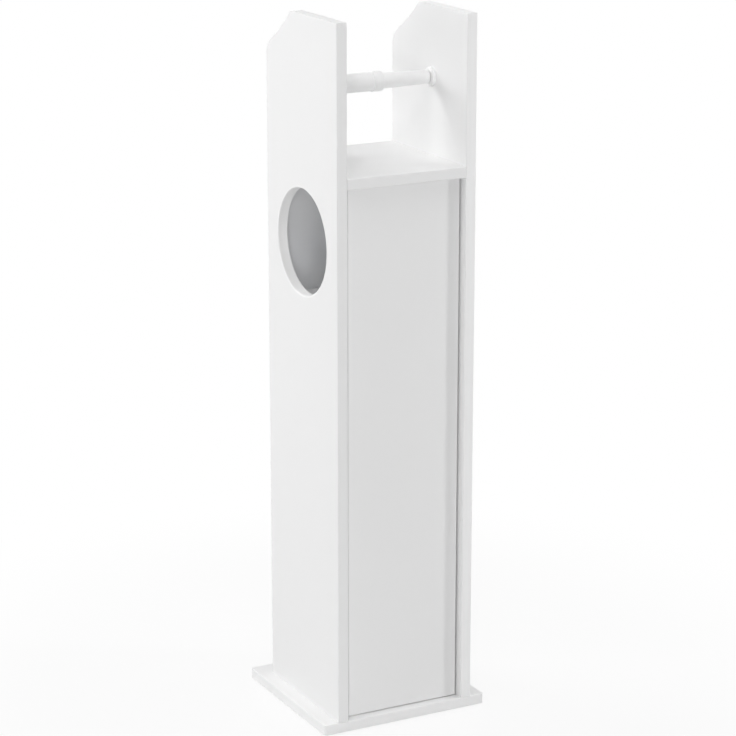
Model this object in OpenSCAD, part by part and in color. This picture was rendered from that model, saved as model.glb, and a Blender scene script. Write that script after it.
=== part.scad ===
// Toilet roll storage cabinet: a narrow boarded tower with a spring roller on top,
// one bay behind a round hole for the next roll, and a stack of spare rolls behind a pivot door.
// Millimetres. X is across, Y runs from the door side to the far side, Z is up.
// The origin is on the floor, under the middle of the base board.

/* [Boards] */
// Thickness of the base, side, shelf and door boards
board_t = 12; // [11:0.5:13]
// Easing radius of the boards' edges
edge_r = 1; // [0.4:0.1:1.4]

/* [Base] */
// Width of the base board
base_w = 200; // [190:1:240]
// Depth of the base board
base_d = 190; // [180:1:230]
// Corner radius of the base board, seen from above
base_corner_r = 2.5; // [1.6:0.1:6]
// Thickness of the foot pads
pad_t = 2; // [1:0.5:5]
// Radius of a foot pad
pad_r = 9; // [6:0.5:12]

/* [Side panels] */
// Width across the outsides of the side panels
body_w = 166; // [162:1:180]
// Depth of the side panels, from the door side to the far side
body_d = 168; // [160:1:176]
// Height of the side panels above the base board
side_h = 770; // [750:1:820]
// How far the corner cut reaches along the top edge
ogee_reach = 65; // [52:1:90]
// How far the corner cut drops down the far edge
ogee_drop = 58; // [48:1:64]
// Radius of the round that starts the corner cut
ogee_top_r = 10; // [4:0.5:14]
// Radius of the hollow in the middle of the corner cut
ogee_hollow_r = 220; // [120:5:400]
// Radius of the round that ends the corner cut
ogee_low_r = 26; // [10:1:30]
// Diameter of the hole in the left side panel
hole_d = 117; // [90:1:120]
// Height of the hole's centre above the inner shelf
hole_lift = 73; // [62:1:76]

/* [Shelves and back] */
// Height of the side panels above the top shelf
open_h = 163; // [150:1:200]
// Clear height of the bay between the inner shelf and the top shelf
bay_h = 143; // [138:1:160]
// Distance from the door's inner face to the inner shelf
inner_shelf_setback = 6; // [5.5:0.5:10]
// Gap between the inner shelf and the back panel
inner_shelf_back_gap = 2.5; // [2:0.5:8]
// Thickness of the back panel
back_t = 3; // [2.5:0.5:4]
// Distance from the far edge of a side panel to the back panel
back_setback = 7; // [5:0.5:10]
// Depth of the back panel's grooves
groove_depth = 4; // [3:0.5:5]

/* [Door] */
// Distance from the side panels' front edges to the door's face
door_recess = 10; // [8:0.5:14]
// Gap between the door's pivot edge and the side panel
door_pivot_gap = 5.3; // [4.8:0.1:6]
// Gap between the door's free edge and the side panel
door_free_gap = 2; // [1.6:0.1:3]
// Gap above and below the door
door_end_gap = 0.8; // [0.7:0.1:2]
// Distance from the door's left edge to its pivot
pivot_inset = 9; // [8:0.5:11]
// Radius of a pivot pin
pivot_r = 2.5; // [2:0.1:3]
// Length of a pivot pin
pivot_len = 23; // [18:1:30]
// Outer radius of a pivot bush
bush_r = 4; // [3.8:0.1:5]
// Length of a pivot bush below its flange
bush_len = 8; // [6:0.5:8.5]
// Radius of a pivot bush's flange
bush_flange_r = 5.5; // [5.2:0.1:6]

/* [Roller] */
// Distance from the side panels' front edges to the roller's axis
roller_y = 78; // [70:1:96]
// Height of the roller's axis above the top shelf
roller_lift = 85.5; // [70:0.5:100]
// Radius of the sleeve
sleeve_r = 10.2; // [10:0.1:12]
// Length of the sleeve
sleeve_len = 75; // [66:1:82]
// Radius of the sleeve's collar
collar_r = 11; // [10.6:0.1:13]
// Length of the sleeve's collar
collar_len = 12; // [6:0.5:16]
// Radius of the core where it slides in the sleeve
core_r = 8.5; // [8:0.1:8.8]
// Radius of the core at its thin end
core_end_r = 7.3; // [6:0.1:8]
// Radius of the roller's end tips
tip_r = 4; // [3:0.1:5]
// How far the core slides into the sleeve
core_travel = 8; // [6:0.5:9]
// Radius of a roller cup
cup_r = 10.5; // [9:0.5:13]
// How far a roller cup stands off its side panel
cup_stand = 3.7; // [3:0.1:5]
// Depth of a roller cup's socket
cup_socket = 5.7; // [5:0.1:7]

/* [Latch] */
// Distance from the cabinet's middle to the latch
latch_x = 40; // [30:1:42]
// Length of the latch housing
latch_len = 50; // [46:1:56]
// Width of the latch housing
latch_w = 14; // [13:0.5:16]
// Height of the latch housing below its flange
latch_h = 12; // [12:0.5:15]
// Radius of the plunger
plunger_r = 4; // [3.6:0.1:4.4]
// How far the closed door pushes the plunger in to release it
latch_travel = 3; // [2:0.5:4]

/* [Hidden] */
$fn = 64;

// Colours
paint = [0.94, 0.94, 0.93];
nylon = [0.90, 0.90, 0.86];
roller_plastic = [0.95, 0.95, 0.94];
steel = [0.72, 0.73, 0.75];
zinc = [0.66, 0.66, 0.68];
beech = [0.80, 0.66, 0.46];
felt = [0.55, 0.54, 0.52];
dark = [0.18, 0.18, 0.19];

// Clearances, and the overrun of every cut
fit_gap = 0.05;
run_gap = 0.08;
slide_gap = 0.1;
seat_gap = 0.3;
bore_spare = 0.5;
over = 1;

// Main planes of the cabinet
closed_h = side_h - open_h - board_t;
z_base = pad_t;
z_floor = z_base + board_t;
z_shelf = z_floor + closed_h;
z_shelf_top = z_shelf + board_t;
z_inner_top = z_shelf - bay_h;
z_inner = z_inner_top - board_t;
y_front = -base_d / 2;
y_back = y_front + body_d;
x_out = body_w / 2;
x_in = x_out - board_t;
x_mid = (x_out + x_in) / 2;

// Door and back panel
door_w = 2 * x_in - door_pivot_gap - door_free_gap;
door_x = (door_pivot_gap - door_free_gap) / 2;
door_h = closed_h - 2 * door_end_gap;
y_door = y_front + door_recess;
y_door_back = y_door + board_t;
y_back_face = y_back - back_setback - back_t;
y_inner = y_door_back + inner_shelf_setback;
y_inner_back = y_back_face - inner_shelf_back_gap;
pivot_x = -(x_in - door_pivot_gap - pivot_inset);
pivot_y = (y_door + y_door_back) / 2;
pivot_drop = 7;
pin_chamfer = 0.5;
washer_gap = 0.2;
bush_flange_t = door_end_gap - washer_gap;

// Corner cut of the side panels: centres of its three arcs, seen from the side
ogee_top_c = [body_d - ogee_reach, side_h - ogee_top_r];
ogee_low_c = [body_d - ogee_low_r, side_h - ogee_drop];
ogee_span = norm(ogee_low_c - ogee_top_c);
ogee_way = (ogee_low_c - ogee_top_c) / ogee_span;
ogee_to_top = ogee_top_r + ogee_hollow_r;
ogee_to_low = ogee_low_r + ogee_hollow_r;
ogee_along = (pow(ogee_to_top, 2) - pow(ogee_to_low, 2) + pow(ogee_span, 2)) / (2 * ogee_span);
ogee_aside = sqrt(pow(ogee_to_top, 2) - pow(ogee_along, 2));
ogee_hollow_c = ogee_top_c + ogee_along * ogee_way + ogee_aside * [-ogee_way.y, ogee_way.x];

// Wooden dowels
dowel_r = 3;
dowel_chamfer = 0.8;
shelf_dowel_in = 8;
shelf_dowel_len = 24;
shelf_dowel_inset = 25;
base_dowel_in = 9;
base_dowel_len = 28;
base_dowel_inset = 22;

// Cam fittings that draw the top shelf to the side panels
cam_r = 6;
cam_h = 10;
cam_inset = 24;
cam_slot_w = 1.2;
cam_slot_deep = 2;
bolt_thread_r = 2.5;
bolt_thread_len = 9;
bolt_collar_r = 3.4;
bolt_collar_t = 0.8;
bolt_shank_r = 1.9;
bolt_head_r = 2.9;
bolt_head_t = 3;
bolt_bore_r = 3.6;
cam_pocket_r = 3.1;
cam_pocket_past = 1.8;

// Base screws
screw_r = 2;
screw_head_r = 4;
screw_head_t = 2.6;
screw_len = 40;
screw_sink = 0.3;
screw_inset = 50;
screw_tip = 4;

// Small screws of the latch and the strike plate
small_r = 1.5;
small_head_r = 2.8;
small_head_t = 1.4;
latch_screw_len = 10;
strike_screw_len = 9;
small_tip = 2.5;

// Shelf supports
support_r = 2.5;
support_in = 9;
support_drop = 6;
support_w = 10;
support_reach = 10;
support_plate_t = 1.5;
support_tongue_t = 2;
support_h = 11;
support_inset = 20;

// Roller
end_gap = 1.3;
sleeve_floor = 2;
core_wall = 1.6;
core_grip = 43;
core_spare = 3;
core_straight = core_travel + core_spare;
roller_edge = 0.6;
cup_edge = 1.2;
cup_spigot_wall = 1;
cup_spigot_r = tip_r + cup_spigot_wall;
cup_spigot_len = 7.5;
roller_axis = [0, y_front + roller_y, z_shelf_top + roller_lift];
x_cup = x_in - cup_stand;
x_roller = x_cup - end_gap;
tip_len = end_gap + cup_socket - seat_gap;
x_sleeve_end = sleeve_len - x_roller;
x_core_in = x_sleeve_end - core_grip;
x_core_cone = x_sleeve_end + core_straight;
sleeve_bore_r = core_r + slide_gap;
core_bore_r = core_r - core_wall;

// Latch, from the door's inner face backwards
strike_t = 1.2;
strike_w = 16;
strike_h = 36;
strike_corner_r = 3;
strike_screw_z = 13;
magnet_gap = 0.2;
magnet_proud = 0.2;
magnet_wall = 1;
magnet_r = plunger_r - magnet_wall;
magnet_t = 3;
cap_rim = 1.2;
cap_r = plunger_r + cap_rim;
cap_t = 2;
cap_spare = 0.6;
plunger_len = 38;
plunger_wall = 0.9;
plunger_pocket_r = plunger_r - plunger_wall;
plunger_pocket = 26;
latch_floor = 6;
latch_corner_r = 3;
latch_flange_w = 34;
latch_flange_d = 24;
latch_flange_t = 2;
latch_flange_back = 8;
latch_screw_x = 11.8;
y_magnet = y_door_back + strike_t + magnet_gap;
y_cap = y_magnet + magnet_proud;
y_latch = y_cap + cap_t + latch_travel + cap_spare;
y_latch_floor = y_latch + latch_len - latch_floor;
y_pocket = y_cap + plunger_len - plunger_pocket;
z_latch = z_inner - latch_flange_t - latch_h / 2;
y_latch_screw = y_latch + latch_flange_back + latch_flange_d / 2;

// Coil springs
roller_spring_wire_r = 0.6;
roller_spring_room = 0.4;
roller_spring_r = core_bore_r - roller_spring_wire_r - roller_spring_room;
roller_spring_turns = 14;
roller_spring_len = x_core_cone + x_roller - sleeve_floor;
latch_spring_wire_r = 0.35;
latch_spring_room = 0.25;
latch_spring_r = plunger_pocket_r - latch_spring_wire_r - latch_spring_room;
latch_spring_turns = 10;
latch_spring_len = y_latch_floor - y_pocket;
spring_steps = 12;
spring_sides = 6;

// Rectangle with round corners, centred
module round_rect(size, r) {
    square([size.x - 2 * r, size.y], center = true);
    square([size.x, size.y - 2 * r], center = true);
    for (x = [-1, 1], y = [-1, 1])
        translate([x * (size.x / 2 - r), y * (size.y / 2 - r)])
            circle(r);
}

// Board with every edge eased, centred
module eased_board(size, r, corner_r) {
    intersection() {
        linear_extrude(size.z, center = true)
            round_rect([size.x, size.y], corner_r);
        rotate([90, 0, 0])
            linear_extrude(size.y, center = true)
                round_rect([size.x, size.z], r);
        rotate([90, 0, 90])
            linear_extrude(size.x, center = true)
                round_rect([size.y, size.z], r);
    }
}

// Board between the side panels, with only its front and far edges eased
module span_board(size, r) {
    rotate([90, 0, 90])
        linear_extrude(size.x, center = true)
            round_rect([size.y, size.z], r);
}

// Turned rod along +Z with chamfered ends
module pin(r, len, chamfer) {
    rotate_extrude()
        polygon([
            [0, 0], [r - chamfer, 0], [r, chamfer],
            [r, len - chamfer], [r - chamfer, len], [0, len]
        ]);
}

// Countersunk screw along +Z, its head at the bottom
module screw(r, head_r, head_t, len, tip) {
    difference() {
        rotate_extrude()
            polygon([[0, 0], [head_r, 0], [r, head_t], [r, len - tip], [0, len]]);
        for (turn = [0, 90])
            rotate(turn)
                cube([head_r, head_r / 4, head_t], center = true);
    }
}

// Hole for such a screw, from its head upwards
module screw_hole(r, head_r, head_t, len) {
    translate([0, 0, -over])
        cylinder(over + fit_gap, head_r + fit_gap, head_r + fit_gap);
    cylinder(head_t, head_r + fit_gap, r + fit_gap);
    cylinder(len, r + fit_gap, r + fit_gap);
}

// Bore for a round piece, along +Z: its depth with some to spare, and an overrun before its mouth
module bore(r, depth) {
    translate([0, 0, -over])
        cylinder(depth + bore_spare + over, r + fit_gap, r + fit_gap);
}

// Hole through a board, along Z and centred, with both of its rims eased
module eased_hole(hole_r, depth, r) {
    cylinder(depth + 2 * over, hole_r, hole_r, center = true, $fn = 128);
    for (side = [0, 1])
        mirror([0, 0, side])
            rotate_extrude($fn = 128)
                difference() {
                    translate([0, depth / 2 - r])
                        square([hole_r + r, r + over]);
                    translate([hole_r + r, depth / 2 - r])
                        circle(r);
                }
}

// Turns what points along +Z to point along +X, or along +Y
module along_x() {
    rotate([0, 90, 0])
        children();
}
module along_y() {
    rotate([-90, 0, 0])
        children();
}

// What is at the left side, also at the right side
module both_sides() {
    children();
    mirror([1, 0, 0])
        children();
}

// Coil spring along +Z from z = 0
function spring_point(i, count, r, wire_r, len) =
    let (turn = 360 * i / spring_steps)
    [r * cos(turn), r * sin(turn), wire_r + (len - 2 * wire_r) * i / count];
module coil_spring(r, wire_r, len, turns) {
    count = turns * spring_steps;
    points = [
        for (i = [0 : count], k = [0 : spring_sides - 1])
            let (
                centre = spring_point(i, count, r, wire_r, len),
                turn = 360 * i / spring_steps,
                side = 360 * k / spring_sides
            )
            centre + wire_r * [cos(turn) * cos(side), sin(turn) * cos(side), sin(side)]
    ];
    skin = [
        for (i = [0 : count - 1], k = [0 : spring_sides - 1])
            let (
                a = i * spring_sides + k,
                b = i * spring_sides + (k + 1) % spring_sides
            )
            each [[a, b, b + spring_sides], [a, b + spring_sides, a + spring_sides]]
    ];
    first_end = [
        for (k = [1 : spring_sides - 2])
            [0, k + 1, k]
    ];
    last = count * spring_sides;
    last_end = [
        for (k = [1 : spring_sides - 2])
            [last, last + k, last + k + 1]
    ];
    polyhedron(points, concat(skin, first_end, last_end));
}

// Side panel's outline, seen from the side: depth across, height up
module side_outline() {
    difference() {
        square([body_d, side_h]);
        difference() {
            polygon([
                ogee_top_c, [ogee_top_c.x, side_h + over], [body_d + over, side_h + over],
                [body_d + over, ogee_low_c.y], ogee_low_c
            ]);
            translate(ogee_top_c)
                circle(ogee_top_r);
            translate(ogee_low_c)
                circle(ogee_low_r);
            difference() {
                polygon([ogee_top_c, ogee_hollow_c, ogee_low_c]);
                translate(ogee_hollow_c)
                    circle(ogee_hollow_r, $fn = 360);
            }
        }
    }
}

// Places of the fittings of one side, as distances from the front edges
shelf_dowel_ys = [shelf_dowel_inset, body_d - shelf_dowel_inset];
base_dowel_ys = [base_dowel_inset, body_d - base_dowel_inset];
base_screw_ys = [screw_inset, body_d - screw_inset];
support_ys = [y_inner - y_front + support_inset, y_inner_back - y_front - support_inset];

// Bores in the inner face of the right side panel, with that face at x = 0
module inner_face_bores() {
    for (y = shelf_dowel_ys)
        translate([0, y_front + y, z_shelf + board_t / 2])
            along_x()
                bore(dowel_r, shelf_dowel_in);
    translate([0, y_front + body_d / 2, z_shelf + board_t / 2])
        along_x()
            bore(bolt_thread_r, bolt_thread_len);
    for (y = support_ys)
        translate([0, y_front + y, z_inner - support_drop])
            along_x()
                bore(support_r, support_in);
    translate([0, roller_axis.y, roller_axis.z])
        along_x()
            bore(cup_spigot_r, cup_spigot_len);
}

// Side panel with its bores and its groove, at the left side
module side_panel() {
    difference() {
        intersection() {
            translate([-x_out, y_front, z_floor])
                rotate([90, 0, 90])
                    linear_extrude(board_t)
                        side_outline();
            translate([-x_mid, (y_front + y_back) / 2, z_floor])
                linear_extrude(side_h)
                    round_rect([board_t, body_d], edge_r);
        }
        mirror([1, 0, 0])
            translate([x_in, 0, 0])
                inner_face_bores();
        for (y = base_dowel_ys)
            translate([-x_mid, y_front + y, z_floor])
                bore(dowel_r, base_dowel_len - base_dowel_in);
        for (y = base_screw_ys)
            translate([-x_mid, y_front + y, z_floor])
                bore(screw_r, screw_len - board_t + screw_sink);
        translate([-x_in - groove_depth, y_back_face - slide_gap, z_floor - over])
            cube([groove_depth + over, back_t + 2 * slide_gap, closed_h + groove_depth + over]);
    }
}

module side_panel_left() {
    color(paint)
        difference() {
            side_panel();
            translate([-x_mid, y_front + body_d / 2, z_inner_top + hole_lift])
                along_x()
                    eased_hole(hole_d / 2, board_t, edge_r);
        }
}

module side_panel_right() {
    color(paint)
        mirror([1, 0, 0])
            side_panel();
}

module base_board() {
    color(paint)
        difference() {
            translate([0, 0, z_base + board_t / 2])
                eased_board([base_w, base_d, board_t], edge_r, base_corner_r);
            both_sides() {
                for (y = base_dowel_ys)
                    translate([-x_mid, y_front + y, z_floor])
                        mirror([0, 0, 1])
                            bore(dowel_r, base_dowel_in);
                for (y = base_screw_ys)
                    translate([-x_mid, y_front + y, z_base + screw_sink])
                        screw_hole(screw_r, screw_head_r, screw_head_t, screw_len);
            }
            translate([pivot_x, pivot_y, z_floor])
                mirror([0, 0, 1])
                    bore(bush_r, bush_len);
            translate([-x_in - groove_depth, y_back_face - slide_gap, z_floor - groove_depth])
                cube([2 * (x_in + groove_depth), back_t + 2 * slide_gap, groove_depth + over]);
        }
}

module top_shelf() {
    color(paint)
        difference() {
            translate([0, (y_front + y_back) / 2, z_shelf + board_t / 2])
                span_board([2 * x_in, body_d, board_t], edge_r);
            both_sides() {
                for (y = shelf_dowel_ys)
                    translate([-x_in, y_front + y, z_shelf + board_t / 2])
                        along_x()
                            bore(dowel_r, shelf_dowel_len - shelf_dowel_in);
                translate([-x_in - over, y_front + body_d / 2, z_shelf + board_t / 2])
                    along_x()
                        cylinder(cam_inset + over, bolt_bore_r, bolt_bore_r);
                translate([-x_in + cam_inset, y_front + body_d / 2, z_shelf - over])
                    cylinder(cam_h + over, cam_r, cam_r);
            }
            translate([pivot_x, pivot_y, z_shelf])
                bore(bush_r, bush_len);
            translate([-x_in - over, y_back_face - slide_gap, z_shelf - over])
                cube([2 * (x_in + over), back_t + 2 * slide_gap, groove_depth + over]);
        }
}

module inner_shelf() {
    color(paint)
        difference() {
            translate([0, (y_inner + y_inner_back) / 2, z_inner + board_t / 2])
                span_board([2 * x_in, y_inner_back - y_inner, board_t], edge_r);
            for (x = [-latch_screw_x, latch_screw_x])
                translate([latch_x + x, y_latch_screw, z_inner])
                    bore(small_r, latch_screw_len - latch_flange_t);
        }
}

module back_panel() {
    edge = groove_depth - bore_spare;
    color(paint)
        translate([-x_in - edge, y_back_face, z_floor - edge])
            cube([2 * (x_in + edge), back_t, closed_h + 2 * edge]);
}

module door() {
    color(paint)
        difference() {
            translate([door_x, (y_door + y_door_back) / 2, z_floor + closed_h / 2])
                eased_board([door_w, board_t, door_h], edge_r, edge_r);
            translate([pivot_x, pivot_y, z_floor + door_end_gap])
                bore(pivot_r, pivot_len - pivot_drop);
            translate([pivot_x, pivot_y, z_shelf - door_end_gap])
                mirror([0, 0, 1])
                    bore(pivot_r, pivot_len - pivot_drop);
            for (z = [-strike_screw_z, strike_screw_z])
                translate([latch_x, y_door_back, z_latch + z])
                    rotate([90, 0, 0])
                        bore(small_r, strike_screw_len - strike_t);
        }
}

module pivot_pin() {
    translate([pivot_x, pivot_y, z_floor + door_end_gap - pivot_drop])
        pin(pivot_r, pivot_len, pin_chamfer);
}

module pivot_bush() {
    translate([pivot_x, pivot_y, z_floor])
        difference() {
            union() {
                translate([0, 0, -bush_len])
                    cylinder(bush_len, bush_r, bush_r);
                cylinder(bush_flange_t, bush_flange_r, bush_flange_r);
            }
            translate([0, 0, -bush_len - over])
                cylinder(bush_len + bush_flange_t + 2 * over, pivot_r + run_gap, pivot_r + run_gap);
        }
}

// What is at the bottom of the door, turned over to its top
module to_door_top() {
    translate([0, 0, z_floor + z_shelf])
        mirror([0, 0, 1])
            children();
}

module pivot_pin_lower() {
    color(steel)
        pivot_pin();
}

module pivot_pin_upper() {
    color(steel)
        to_door_top()
            pivot_pin();
}

module pivot_bush_lower() {
    color(nylon)
        pivot_bush();
}

module pivot_bush_upper() {
    color(nylon)
        to_door_top()
            pivot_bush();
}

module latch_housing() {
    color(nylon)
        difference() {
            union() {
                translate([latch_x, y_latch + latch_len / 2, z_latch])
                    rotate([90, 0, 0])
                        linear_extrude(latch_len, center = true)
                            round_rect([latch_w, latch_h], latch_corner_r);
                translate([latch_x, y_latch_screw, z_inner - latch_flange_t / 2])
                    linear_extrude(latch_flange_t, center = true)
                        round_rect([latch_flange_w, latch_flange_d], latch_corner_r);
                translate([latch_x - latch_w / 2, y_latch_screw - latch_flange_d / 2, z_latch])
                    cube([latch_w, latch_flange_d, latch_h / 2 + latch_flange_t / 2]);
            }
            translate([latch_x, y_latch - over, z_latch])
                along_y()
                    cylinder(latch_len - latch_floor + over, plunger_r + slide_gap, plunger_r + slide_gap);
            for (x = [-latch_screw_x, latch_screw_x])
                translate([latch_x + x, y_latch_screw, z_inner - latch_flange_t])
                    screw_hole(small_r, small_head_r, small_head_t, latch_flange_t + over);
        }
}

module latch_plunger() {
    color(dark)
        translate([latch_x, y_cap, z_latch])
            along_y()
                difference() {
                    union() {
                        cylinder(plunger_len, plunger_r, plunger_r);
                        cylinder(cap_t, cap_r, cap_r);
                    }
                    translate([0, 0, -over])
                        cylinder(magnet_t - magnet_proud + over, magnet_r + fit_gap, magnet_r + fit_gap);
                    translate([0, 0, plunger_len - plunger_pocket])
                        cylinder(plunger_pocket + over, plunger_pocket_r, plunger_pocket_r);
                }
}

module latch_magnet() {
    color(steel)
        translate([latch_x, y_magnet, z_latch])
            along_y()
                cylinder(magnet_t, magnet_r, magnet_r);
}

module latch_spring() {
    color(steel)
        translate([latch_x, y_pocket, z_latch])
            along_y()
                coil_spring(latch_spring_r, latch_spring_wire_r, latch_spring_len, latch_spring_turns);
}

module latch_screws() {
    color(zinc)
        for (x = [-latch_screw_x, latch_screw_x])
            translate([latch_x + x, y_latch_screw, z_inner - latch_flange_t])
                screw(small_r, small_head_r, small_head_t, latch_screw_len, small_tip);
}

module strike_plate() {
    color(steel)
        translate([latch_x, y_door_back, z_latch])
            along_y()
                difference() {
                    linear_extrude(strike_t)
                        round_rect([strike_w, strike_h], strike_corner_r);
                    for (z = [-strike_screw_z, strike_screw_z])
                        translate([0, z, strike_t])
                            mirror([0, 0, 1])
                                screw_hole(small_r, small_head_r, strike_t, strike_t + over);
                }
}

module strike_screws() {
    color(zinc)
        for (z = [-strike_screw_z, strike_screw_z])
            translate([latch_x, y_door_back + strike_t, z_latch + z])
                rotate([90, 0, 0])
                    screw(small_r, small_head_r, strike_t, strike_screw_len, small_tip);
}

module roller_sleeve() {
    color(roller_plastic)
        translate([-x_roller, roller_axis.y, roller_axis.z])
            along_x()
                difference() {
                    union() {
                        pin(sleeve_r, sleeve_len, roller_edge);
                        translate([0, 0, sleeve_len - collar_len])
                            pin(collar_r, collar_len, roller_edge);
                        translate([0, 0, -tip_len])
                            pin(tip_r, tip_len + over, roller_edge);
                    }
                    translate([0, 0, sleeve_floor])
                        cylinder(sleeve_len - sleeve_floor + over, sleeve_bore_r, sleeve_bore_r);
                }
}

module roller_core() {
    color(roller_plastic)
        translate([0, roller_axis.y, roller_axis.z])
            along_x()
                difference() {
                    rotate_extrude()
                        polygon([
                            [0, x_core_in], [core_r, x_core_in], [core_r, x_core_cone],
                            [core_end_r, x_roller - roller_edge], [core_end_r - roller_edge, x_roller],
                            [tip_r, x_roller], [tip_r, x_roller + tip_len - roller_edge],
                            [tip_r - roller_edge, x_roller + tip_len], [0, x_roller + tip_len]
                        ]);
                    translate([0, 0, x_core_in - over])
                        cylinder(x_core_cone - x_core_in + over, core_bore_r, core_bore_r);
                }
}

module roller_spring() {
    color(steel)
        translate([sleeve_floor - x_roller, roller_axis.y, roller_axis.z])
            along_x()
                coil_spring(roller_spring_r, roller_spring_wire_r, roller_spring_len, roller_spring_turns);
}

module cup() {
    translate([-x_in, roller_axis.y, roller_axis.z])
        along_x()
            difference() {
                rotate_extrude()
                    polygon([
                        [0, -cup_spigot_len], [cup_spigot_r, -cup_spigot_len], [cup_spigot_r, 0],
                        [cup_r, 0], [cup_r, cup_stand - cup_edge], [cup_r - cup_edge, cup_stand],
                        [0, cup_stand]
                    ]);
                translate([0, 0, cup_stand - cup_socket])
                    cylinder(cup_socket + over, tip_r + slide_gap, tip_r + slide_gap);
            }
}

module cup_left() {
    color(roller_plastic)
        cup();
}

module cup_right() {
    color(roller_plastic)
        mirror([1, 0, 0])
            cup();
}

// One plug-in support: a pin in the side panel, and a ribbed bracket under the shelf
module shelf_support() {
    translate([-support_in, 0, -support_drop])
        along_x()
            cylinder(support_in + support_plate_t, support_r, support_r);
    translate([0, support_w / 2, 0])
        rotate([90, 0, 0])
            linear_extrude(support_w)
                polygon([
                    [0, 0], [support_reach, 0], [support_reach, -support_tongue_t],
                    [support_plate_t, -support_tongue_t], [support_plate_t, -support_h], [0, -support_h]
                ]);
    translate([0, support_plate_t / 2, 0])
        rotate([90, 0, 0])
            linear_extrude(support_plate_t)
                polygon([
                    [0, 0], [support_reach, 0], [support_reach, -support_tongue_t],
                    [support_plate_t, -support_h], [0, -support_h]
                ]);
}

module shelf_supports() {
    color(zinc)
        both_sides()
            for (y = support_ys)
                translate([-x_in, y_front + y, z_inner])
                    shelf_support();
}

module shelf_dowels() {
    color(beech)
        both_sides()
            for (y = shelf_dowel_ys)
                translate([-x_in - shelf_dowel_in, y_front + y, z_shelf + board_t / 2])
                    along_x()
                        pin(dowel_r, shelf_dowel_len, dowel_chamfer);
}

module cam_bolts() {
    color(zinc)
        both_sides()
            translate([-x_in, y_front + body_d / 2, z_shelf + board_t / 2])
                along_x()
                    rotate_extrude()
                        polygon([
                            [0, -bolt_thread_len], [bolt_thread_r, -bolt_thread_len], [bolt_thread_r, 0],
                            [bolt_collar_r, 0], [bolt_collar_r, bolt_collar_t], [bolt_shank_r, bolt_collar_t],
                            [bolt_shank_r, cam_inset - bolt_head_t / 2],
                            [bolt_head_r, cam_inset - bolt_head_t / 2],
                            [bolt_head_r, cam_inset + bolt_head_t / 2], [0, cam_inset + bolt_head_t / 2]
                        ]);
}

module cam_locks() {
    color(zinc)
        both_sides()
            translate([-x_in + cam_inset, y_front + body_d / 2, z_shelf])
                difference() {
                    cylinder(cam_h - fit_gap, cam_r - fit_gap, cam_r - fit_gap);
                    translate([-cam_r - over, 0, board_t / 2])
                        along_x()
                            cylinder(cam_r + cam_pocket_past + over, cam_pocket_r, cam_pocket_r);
                    for (turn = [0, 90])
                        rotate(turn)
                            cube([cam_r, cam_slot_w, 2 * cam_slot_deep], center = true);
                }
}

module base_dowels() {
    color(beech)
        both_sides()
            for (y = base_dowel_ys)
                translate([-x_mid, y_front + y, z_floor - base_dowel_in])
                    pin(dowel_r, base_dowel_len, dowel_chamfer);
}

module base_screws() {
    color(zinc)
        both_sides()
            for (y = base_screw_ys)
                translate([-x_mid, y_front + y, z_base + screw_sink])
                    screw(screw_r, screw_head_r, screw_head_t, screw_len, screw_tip);
}

module foot_pads() {
    pad_inset = 2 * pad_r;
    color(felt)
        for (x = [-1, 1], y = [-1, 1])
            translate([x * (base_w / 2 - pad_inset), y * (base_d / 2 - pad_inset), 0])
                cylinder(pad_t, pad_r, pad_r);
}

base_board();
side_panel_left();
side_panel_right();
top_shelf();
inner_shelf();
back_panel();
door();
pivot_pin_lower();
pivot_pin_upper();
pivot_bush_lower();
pivot_bush_upper();
latch_housing();
latch_plunger();
latch_magnet();
latch_spring();
latch_screws();
strike_plate();
strike_screws();
roller_sleeve();
roller_core();
roller_spring();
cup_left();
cup_right();
shelf_supports();
shelf_dowels();
cam_bolts();
cam_locks();
base_dowels();
base_screws();
foot_pads();
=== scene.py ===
"""Looks of the toilet roll storage cabinet, in a white studio.

Its boards are painted, its roller and latch are moulded, and its fittings are metal, beech and felt.
"""
import math

import bpy
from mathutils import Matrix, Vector


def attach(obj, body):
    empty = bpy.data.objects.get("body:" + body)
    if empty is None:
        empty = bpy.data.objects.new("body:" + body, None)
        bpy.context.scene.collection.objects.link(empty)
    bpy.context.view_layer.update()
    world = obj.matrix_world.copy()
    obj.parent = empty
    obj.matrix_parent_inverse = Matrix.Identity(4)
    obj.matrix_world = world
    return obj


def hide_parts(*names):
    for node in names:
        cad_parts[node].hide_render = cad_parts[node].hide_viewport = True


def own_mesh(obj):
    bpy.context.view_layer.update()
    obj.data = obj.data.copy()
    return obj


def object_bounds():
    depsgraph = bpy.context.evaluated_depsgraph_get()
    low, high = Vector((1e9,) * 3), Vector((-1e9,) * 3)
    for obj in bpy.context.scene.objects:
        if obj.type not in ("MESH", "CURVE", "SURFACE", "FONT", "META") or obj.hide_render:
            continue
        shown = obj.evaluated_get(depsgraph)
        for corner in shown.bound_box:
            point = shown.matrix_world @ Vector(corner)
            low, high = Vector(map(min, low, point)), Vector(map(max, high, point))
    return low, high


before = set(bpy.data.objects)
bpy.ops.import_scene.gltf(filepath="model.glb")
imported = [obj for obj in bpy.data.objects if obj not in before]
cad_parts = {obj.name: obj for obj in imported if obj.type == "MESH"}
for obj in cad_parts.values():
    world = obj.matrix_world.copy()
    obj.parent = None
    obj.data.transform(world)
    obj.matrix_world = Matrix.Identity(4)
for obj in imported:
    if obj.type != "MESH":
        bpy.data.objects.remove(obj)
cad_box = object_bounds()

MM = 0.001

# The photograph's camera, fitted to the cabinet's edges, in metres and degrees
CAMERA_PLACE = (-1.2865, -2.4643, 1.1715)
CAMERA_AZIMUTH = -27.62
CAMERA_ELEVATION = 15.80
LENS_MM = 127.93
SENSOR_MM = 36.0

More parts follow.
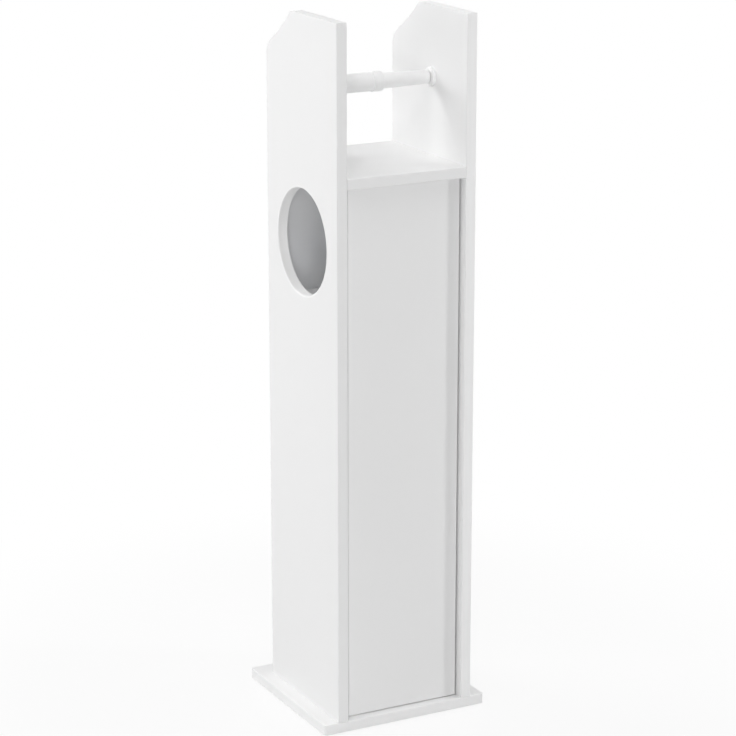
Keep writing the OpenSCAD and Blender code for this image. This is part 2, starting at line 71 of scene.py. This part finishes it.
# The hole in the left board, in metres: its middle along Y and Z, its radius, and the board's
# outer and inner face along X
ROLL_OPENING = {"middle": (0.0, -0.011, 0.539), "radius": 0.0585, "faces": (-0.083, -0.071)}
# How far past the hole's radius its painted light, gloss coat and leaning normals start to fade and end,
# in metres
RIM_FADE = (1.0 * MM, 2.5 * MM)
# How far the normals on the hole's wall lean outwards, at the board's outer and inner face
WALL_LEAN = (0.9, 0.4)

# Colours of the finishes
WHITE_PAINT = (0.87, 0.87, 0.87)
PAINTED_EDGE = (0.855, 0.855, 0.855)
# A lighter white for the whole base board, painted light
PAINTED_LIGHT_BASE_WHITE = (0.90, 0.90, 0.90)
# A lighter white, painted light: on the wall and rim of the roll hole, and on the right board's edges
PAINTED_LIGHT_WHITE = (0.93, 0.93, 0.93)
# A darker, cooler white, painted shade for the dim inside of the cabinet
SHADED_WHITE = (0.83, 0.84, 0.865)
WHITE_PLASTIC = (0.94, 0.94, 0.94)
NATURAL_NYLON = (0.84, 0.84, 0.80)
BLACK_PLASTIC = (0.045, 0.045, 0.05)
BRIGHT_STEEL = (0.60, 0.61, 0.63)
DULL_STEEL = (0.48, 0.49, 0.51)
ZINC_PLATE = (0.58, 0.58, 0.60)
ZINC_SHADE = (0.47, 0.48, 0.52)
BEECH_LIGHT = (0.66, 0.48, 0.30)
BEECH_DARK = (0.50, 0.33, 0.18)
FELT_LIGHT = (0.40, 0.39, 0.38)
FELT_DARK = (0.25, 0.245, 0.24)
FLOOR_LIGHT = (0.87, 0.87, 0.87)
FLOOR_DARK = (0.85, 0.85, 0.85)

# The floor's half width, and how far from its middle the real shading lasts, in metres
FLOOR_HALF_WIDTH = 6.0
SHADOW_REACH = 0.7
# The share of its real shading, and so of the shadow, that the floor keeps beside the cabinet
SHADOW_SHARE = 0.13

# The lamps: azimuth and elevation in degrees, distance, width and height in metres, and radiance,
# where a lamp of 1 would look just white
LAMPS = {
    "key_lamp": (-143, 29, 2.5, 1.4, 1.4, 5.6),
    "left_lamp": (-95, 7, 2.5, 1.3, 0.7, 3.2),
    "front_low_lamp": (-28, 0, 3.2, 0.9, 0.6, 6.8),
    "front_lamp": (-28, 17, 3.2, 1.4, 1.4, 1.8),
    "front_right_lamp": (-12, 5, 3.2, 0.8, 0.8, 2.0),
    "high_lamp": (-30, 52, 2.8, 0.8, 0.8, 3.8),
    "top_left_lamp": (-60, 65, 2.5, 1.2, 1.2, 2.7),
    "top_right_lamp": (60, 68, 2.5, 1.2, 1.2, 2.7),
    "left_front_lamp": (-72, 10, 2.5, 0.8, 0.8, 0.6),
    "top_back_lamp": (180, 62, 2.5, 1.2, 1.2, 1.0),
    "rim_lamp": (59, 16, 2.5, 0.28, 1.3, 15.5),
    "low_right_lamp": (105, 8, 1.2, 0.7, 0.36, 3.6),
}


class Finish:
    """A node material in the making, on coordinates that stay with the piece."""

    def __init__(self, name):
        self.material = bpy.data.materials.new(name)
        self.material.use_nodes = True
        self.tree = self.material.node_tree
        self.shader = next(n for n in self.tree.nodes if n.type == "BSDF_PRINCIPLED")
        place = self.add("ShaderNodeTexCoord")
        self.place = place.outputs["Object"]
        self.facing = place.outputs["Normal"]

    def add(self, kind, inputs=None, **settings):
        """A new node, with its settings, and its inputs joined to outputs or set to values."""
        node = self.tree.nodes.new(kind)
        for key, value in settings.items():
            setattr(node, key, value)
        for key, value in (inputs or {}).items():
            if isinstance(value, bpy.types.NodeSocket):
                self.tree.links.new(value, node.inputs[key])
            else:
                node.inputs[key].default_value = value
        return node

    def join(self, output, name):
        """Joins an output to one of the shader's inputs."""
        self.tree.links.new(output, self.shader.inputs[name])

    def set(self, **values):
        """Sets the shader's own inputs, by their names in lower case with low lines."""
        for key, value in values.items():
            name = key.replace("_", " ").title().replace("Ior", "IOR")
            self.shader.inputs[name].default_value = value

    def stretched(self, scale):
        """The coordinates times a scale along each axis."""
        return self.add("ShaderNodeMapping", {"Vector": self.place, "Scale": scale}).outputs["Vector"]

    def noise(self, size_mm, detail=2.0, place=None, rough=0.5):
        """Noise from 0 to 1 whose lumps are about size_mm across."""
        inputs = {
            "Vector": place or self.place,
            "Scale": 1 / (size_mm * MM),
            "Detail": detail,
            "Roughness": rough,
        }
        return self.add("ShaderNodeTexNoise", inputs).outputs["Fac"]

    def fit(self, value, low, high, start=0.3, end=0.7):
        """A value's stretch from start to end, fitted to low to high and held there."""
        inputs = {"Value": value, "From Min": start, "From Max": end, "To Min": low, "To Max": high}
        return self.add("ShaderNodeMapRange", inputs).outputs["Result"]

    def maths(self, how, a, b):
        """Two values joined by a sum, a product or the like."""
        return self.add("ShaderNodeMath", {0: a, 1: b}, operation=how).outputs[0]

    def vectors(self, how, a, b=None):
        """A node that joins two vectors, or works on one."""
        inputs = {0: a} if b is None else {0: a, 1: b}
        return self.add("ShaderNodeVectorMath", inputs, operation=how)

    def blend(self, share, first, second):
        """The colour between first and second at share. A colour is an output or three numbers."""
        sockets = [c if isinstance(c, bpy.types.NodeSocket) else (*c, 1.0) for c in (first, second)]
        inputs = {0: share, 6: sockets[0], 7: sockets[1]}
        return self.add("ShaderNodeMix", inputs, data_type="RGBA").outputs[2]

    def bump(self, height, depth_mm, normal=None):
        """A normal that is disturbed by a height of 0 to 1 times depth_mm."""
        inputs = {"Height": height, "Distance": depth_mm * MM, "Strength": 1.0}
        if normal is not None:
            inputs["Normal"] = normal
        return self.add("ShaderNodeBump", inputs).outputs["Normal"]

    def rounded(self, radius_mm):
        """The surface's normal, with every edge rounded off."""
        return self.add("ShaderNodeBevel", {"Radius": radius_mm * MM}, samples=6).outputs["Normal"]

    def beside(self, opening):
        """One on the wall and rim of a round opening through a board, and nought elsewhere."""
        flat = self.vectors("MULTIPLY", self.place, (0.0, 1.0, 1.0)).outputs["Vector"]
        away = self.vectors("DISTANCE", flat, opening["middle"]).outputs["Value"]
        fades, ends = (opening["radius"] + past for past in RIM_FADE)
        return self.fit(away, low=1.0, high=0.0, start=fades, end=ends)

    def flared(self, normal, beside, faces):
        """A normal that leans outwards where beside is one, as on a wall that widens."""
        depth = self.add("ShaderNodeSeparateXYZ", {"Vector": self.place}).outputs["X"]
        outer, inner = WALL_LEAN
        lean = self.fit(depth, -outer, -inner, *faces)
        lean = self.maths("MULTIPLY", lean, beside)
        push = self.add("ShaderNodeCombineXYZ", {"X": lean}).outputs["Vector"]
        turned = self.vectors("ADD", normal, push).outputs["Vector"]
        return self.vectors("NORMALIZE", turned).outputs["Vector"]


def painted_board(name, broad_axis, paint=WHITE_PAINT, edge_colour=PAINTED_EDGE, opening=None):
    """White satin paint on fibreboard: even on the faces across broad_axis, coarser on the edges.

    The wall of an opening is painted lighter, as painted light, and has a glossier coat; it is shaded as
    if it widened outwards.
    """
    f = Finish(name)
    parts = f.add("ShaderNodeSeparateXYZ", {"Vector": f.facing}).outputs
    across = f.maths("ABSOLUTE", parts[broad_axis], 0.0)
    edge = f.fit(across, low=1.0, high=0.0, start=0.35, end=0.9)
    cloud = f.fit(f.noise(size_mm=140, detail=3), low=0.0, high=0.35)
    colour = f.blend(f.maths("MAXIMUM", cloud, edge), paint, edge_colour)
    sheen = f.fit(f.noise(size_mm=28, detail=3), low=0.36, high=0.46)
    rougher_edge = f.maths("MULTIPLY", edge, 0.10)
    normal = f.rounded(radius_mm=0.9)
    if opening:
        beside = f.beside(opening)
        # The hole's wall and rim are painted lighter: painted light.
        colour = f.blend(beside, colour, PAINTED_LIGHT_WHITE)
        normal = f.flared(normal, beside, opening["faces"])
        f.join(beside, "Coat Weight")
        f.set(coat_roughness=0.3)
    peel = f.bump(f.noise(size_mm=2.4), depth_mm=0.010, normal=normal)
    grain = f.bump(f.noise(size_mm=0.5), depth_mm=0.0025, normal=peel)
    fibres = f.maths("MULTIPLY", f.noise(size_mm=0.9, detail=4, rough=0.7), edge)
    f.join(colour, "Base Color")
    f.join(f.maths("ADD", sheen, rougher_edge), "Roughness")
    f.join(f.bump(fibres, depth_mm=0.022, normal=grain), "Normal")
    f.set(specular_ior_level=0.42)
    return f.material


def painted_hardboard(name):
    """White paint on thin hardboard, with the fibre mat showing faintly through it."""
    f = Finish(name)
    mat = f.noise(size_mm=1.1, detail=5, rough=0.7)
    shaded = f.fit(f.noise(size_mm=90, detail=3), low=0.5, high=1.0)
    # The back panel's white is darker and cooler, a painted shade for the cabinet's dim inside, and
    # varies at random in large clouds.
    f.join(f.blend(shaded, PAINTED_EDGE, SHADED_WHITE), "Base Color")
    f.join(f.fit(mat, low=0.46, high=0.62), "Roughness")
    f.join(f.bump(mat, depth_mm=0.03, normal=f.rounded(radius_mm=0.3)), "Normal")
    f.set(specular_ior_level=0.36)
    return f.material


def moulded_plastic(name, colour, rough, grain_mm, glow=0.0):
    """Injection-moulded plastic: a soft sheen that varies, and a fine eroded grain."""
    f = Finish(name)
    shade = tuple(0.965 * c for c in colour)
    clouds = f.fit(f.noise(size_mm=12, detail=3), low=0.0, high=1.0)
    f.join(f.blend(clouds, colour, shade), "Base Color")
    sheen = f.fit(f.noise(size_mm=5, detail=3), low=rough - 0.04, high=rough + 0.05)
    f.join(sheen, "Roughness")
    waves = f.bump(f.noise(size_mm=9, detail=1), depth_mm=0.03, normal=f.rounded(radius_mm=0.35))
    f.join(f.bump(f.noise(grain_mm, detail=3), depth_mm=0.004, normal=waves), "Normal")
    f.set(subsurface_weight=glow, subsurface_scale=1.5 * MM, specular_ior_level=0.5)
    return f.material


def metal(name, light, dark, rough, streaks, mottle_mm):
    """Bare or plated metal: a mottled tone, and tool marks that are finer where streaks is larger."""
    f = Finish(name)
    lines = f.noise(size_mm=1.0, detail=4, place=f.stretched(streaks), rough=0.7)
    mottle = f.noise(mottle_mm, detail=4)
    tone = f.maths("MULTIPLY", mottle, f.fit(lines, low=0.8, high=1.2))
    f.join(f.blend(f.fit(tone, low=0.0, high=1.0), light, dark), "Base Color")
    f.join(f.fit(lines, low=rough - 0.07, high=rough + 0.09), "Roughness")
    f.join(f.bump(lines, depth_mm=0.003, normal=f.rounded(radius_mm=0.2)), "Normal")
    f.set(metallic=1.0)
    return f.material


def raw_beech(name):
    """Bare beech with its grain along X and Z, and short dark flecks."""
    f = Finish(name)
    grain = f.noise(size_mm=2.2, detail=5, place=f.stretched((0.2, 1.0, 0.2)), rough=0.6)
    specks = f.noise(size_mm=0.7, place=f.stretched((0.25, 1.0, 0.25)))
    flecks = f.fit(specks, low=0.0, high=0.6, start=0.62, end=0.72)
    share = f.maths("MAXIMUM", f.fit(grain, low=0.0, high=0.8), flecks)
    f.join(f.blend(share, BEECH_LIGHT, BEECH_DARK), "Base Color")
    f.join(f.fit(grain, low=0.55, high=0.75), "Roughness")
    f.join(f.bump(grain, depth_mm=0.04), "Normal")
    return f.material


def pressed_felt(name):
    """Grey felt: matted short fibres, with a soft fuzz at grazing angles."""
    f = Finish(name)
    fibres = f.noise(size_mm=0.45, detail=5, place=f.stretched((1.0, 0.5, 1.6)), rough=0.75)
    tufts = f.fit(f.noise(size_mm=4, detail=3), low=0.6, high=1.0)
    share = f.maths("MULTIPLY", f.fit(fibres, low=0.0, high=1.0), tufts)
    f.join(f.blend(share, FELT_LIGHT, FELT_DARK), "Base Color")
    f.join(f.bump(fibres, depth_mm=0.25), "Normal")
    f.set(roughness=0.95, sheen_weight=0.5, sheen_roughness=0.6, specular_ior_level=0.2)
    return f.material


def steel(name, rough, streaks, mottle_mm):
    """Bare steel."""
    return metal(name, BRIGHT_STEEL, DULL_STEEL, rough, streaks, mottle_mm)


def dress():
    """Gives every piece of the cabinet its finish."""
    finishes = (
        (painted_board("paint_left_board", "X", opening=ROLL_OPENING), ["side_panel_left"]),
        # The right board's edges, and faint clouds on its faces, are painted lighter: painted light.
        (painted_board("paint_right_board", "X", edge_colour=PAINTED_LIGHT_WHITE), ["side_panel_right"]),
        # The base board is painted lighter all over: painted light.
        (
            painted_board("paint_base_board", "Z", paint=PAINTED_LIGHT_BASE_WHITE, edge_colour=PAINTED_LIGHT_BASE_WHITE),
            ["base_board"],
        ),
        (painted_board("paint_lying_boards", "Z"), ["top_shelf", "inner_shelf"]),
        (painted_board("paint_door", "Y"), ["door"]),
        (painted_hardboard("paint_back_panel"), ["back_panel"]),
        (
            moulded_plastic("roller_plastic", WHITE_PLASTIC, rough=0.55, grain_mm=0.5),
            ["roller_sleeve", "roller_core", "cup_left", "cup_right"],
        ),
        (
            moulded_plastic("natural_nylon", NATURAL_NYLON, rough=0.5, grain_mm=0.35, glow=0.15),
            ["latch_housing", "pivot_bush_lower", "pivot_bush_upper"],
        ),
        (moulded_plastic("black_plastic", BLACK_PLASTIC, rough=0.45, grain_mm=0.3), ["latch_plunger"]),
        (
            steel("turned_steel", rough=0.26, streaks=(1.0, 1.0, 6.0), mottle_mm=6),
            ["pivot_pin_lower", "pivot_pin_upper", "latch_magnet"],
        ),
        (
            steel("drawn_wire", rough=0.3, streaks=(3.0, 3.0, 3.0), mottle_mm=3),
            ["roller_spring", "latch_spring"],
        ),
        (steel("rolled_plate", rough=0.3, streaks=(6.0, 6.0, 0.5), mottle_mm=9), ["strike_plate"]),
        (
            metal("zinc_plate", ZINC_PLATE, ZINC_SHADE, 0.36, streaks=(2.0, 2.0, 2.0), mottle_mm=2.5),
            [
                "latch_screws", "strike_screws", "shelf_supports",
                "cam_bolts", "cam_locks", "base_screws",
            ],
        ),
        (raw_beech("raw_beech"), ["shelf_dowels", "base_dowels"]),
        (pressed_felt("pressed_felt"), ["foot_pads"]),
    )
    for finish, names in finishes:
        for name in names:
            for material_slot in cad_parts[name].material_slots:
                material_slot.material = finish


def outlook(azimuth, elevation):
    """The direction from the cabinet towards an azimuth and elevation."""
    a, e = math.radians(azimuth), math.radians(elevation)
    return Vector((math.sin(a) * math.cos(e), -math.cos(a) * math.cos(e), math.sin(e)))


def softbox(name, azimuth, elevation, distance, width, height, radiance):
    """A soft lamp that faces the cabinet's middle, and that the camera doesn't see."""
    low, high = cad_box
    middle = (low + high) / 2
    lamp = bpy.data.lights.new(name, "AREA")
    lamp.shape = "RECTANGLE"
    lamp.size = width
    lamp.size_y = height
    lamp.energy = radiance * math.pi * width * height
    holder = bpy.data.objects.new(name, lamp)
    direction = outlook(azimuth, elevation)
    holder.location = middle + direction * distance
    holder.rotation_euler = direction.to_track_quat("Z", "Y").to_euler()
    holder.visible_camera = False
    bpy.context.scene.collection.objects.link(holder)


def seen_directly(tree):
    """One for camera, glossy and transmitted rays, and nought for the light that falls on surfaces."""
    rays = tree.nodes.new("ShaderNodeLightPath")
    total = rays.outputs["Is Camera Ray"]
    for name in ("Is Glossy Ray", "Is Transmission Ray"):
        join = tree.nodes.new("ShaderNodeMath")
        join.operation = "MAXIMUM"
        tree.links.new(total, join.inputs[0])
        tree.links.new(rays.outputs[name], join.inputs[1])
        total = join.outputs[0]
    return total


def white_world():
    """A world that is seen as white, and gives no light."""
    world = bpy.data.worlds.new("studio_world")
    world.use_nodes = True
    tree = world.node_tree
    background = tree.nodes["Background"]
    background.inputs["Color"].default_value = (1.0, 1.0, 1.0, 1.0)
    tree.links.new(seen_directly(tree), background.inputs["Strength"])
    bpy.context.scene.world = world


def white_floor():
    """A floor that is seen as white. Near the cabinet it keeps a share of its real shading."""
    mesh = bpy.data.meshes.new("floor")
    h = FLOOR_HALF_WIDTH
    mesh.from_pydata([(-h, -h, 0), (h, -h, 0), (h, h, 0), (-h, h, 0)], [], [(0, 1, 2, 3)])
    floor = bpy.data.objects.new("floor", mesh)
    bpy.context.scene.collection.objects.link(floor)
    f = Finish("studio_floor")
    clouds = f.noise(size_mm=400, detail=3)
    f.join(f.blend(clouds, FLOOR_LIGHT, FLOOR_DARK), "Base Color")
    f.set(roughness=0.9, specular_ior_level=0.1)
    fade = {
        "Value": f.vectors("LENGTH", f.place).outputs["Value"],
        "From Min": 0.5 * SHADOW_REACH,
        "From Max": SHADOW_REACH,
        "To Min": 1 - SHADOW_SHARE,
        "To Max": 1.0,
    }
    white = f.add("ShaderNodeMapRange", fade, interpolation_type="SMOOTHSTEP").outputs["Result"]
    share = f.maths("MULTIPLY", white, seen_directly(f.tree))
    glow = f.add("ShaderNodeEmission").outputs["Emission"]
    mix = f.add("ShaderNodeMixShader", {"Fac": share, 1: f.shader.outputs["BSDF"], 2: glow})
    output = next(n for n in f.tree.nodes if n.type == "OUTPUT_MATERIAL")
    f.tree.links.new(mix.outputs["Shader"], output.inputs["Surface"])
    mesh.materials.append(f.material)


def photo_camera():
    """The camera of the photograph."""
    data = bpy.data.cameras.new("photo_camera")
    data.lens = LENS_MM
    data.sensor_width = SENSOR_MM
    camera = bpy.data.objects.new("photo_camera", data)
    camera.location = CAMERA_PLACE
    back = outlook(CAMERA_AZIMUTH, CAMERA_ELEVATION)
    camera.rotation_euler = back.to_track_quat("Z", "Y").to_euler()
    bpy.context.scene.collection.objects.link(camera)
    bpy.context.scene.camera = camera


def working_spring(node, body):
    """A coil of the same shape and finish in place of a CAD spring.

    Like the CAD spring, it can't shorten itself; it moves with its body.
    """
    coil = bpy.data.objects.new(node + "_coil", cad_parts[node].data.copy())
    bpy.context.scene.collection.objects.link(coil)
    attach(coil, body)
    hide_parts(node)
    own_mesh(coil)


photo_camera()
bpy.context.scene.view_settings.view_transform = "Standard"
dress()
working_spring(
    "latch_spring", "carcass",
)
working_spring(
    "roller_spring", "roller",
)
white_world()
white_floor()
for lamp_name, placing in LAMPS.items():
    softbox(lamp_name, *placing)
